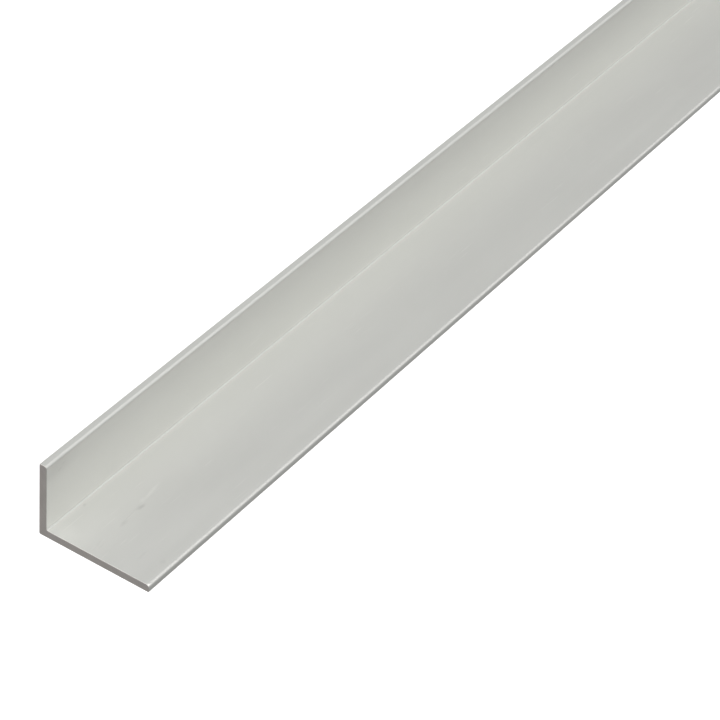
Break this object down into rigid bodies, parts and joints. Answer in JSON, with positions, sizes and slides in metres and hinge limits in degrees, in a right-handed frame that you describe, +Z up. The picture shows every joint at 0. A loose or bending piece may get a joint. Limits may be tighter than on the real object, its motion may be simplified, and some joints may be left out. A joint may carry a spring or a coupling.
{
  "type": "metal angle section",
  "caption": "Length of unequal-leg aluminium angle section with a rounded inside edge on each leg and square sawn ends.",
  "frame": {"origin": "on the floor, at the middle of the length and of the wide leg's width", "axes": "+X along the wide leg from the heel to its free edge, +Y along the length, +Z up the narrow leg"},
  "size_m": [0.03, 1, 0.02],
  "materials": {
    "anodised_aluminium": "satin anodised, sawn ends bare"
  },
  "bodies": {
    "root": {"angle_section": "anodised_aluminium"}
  },
  "joints": []
}
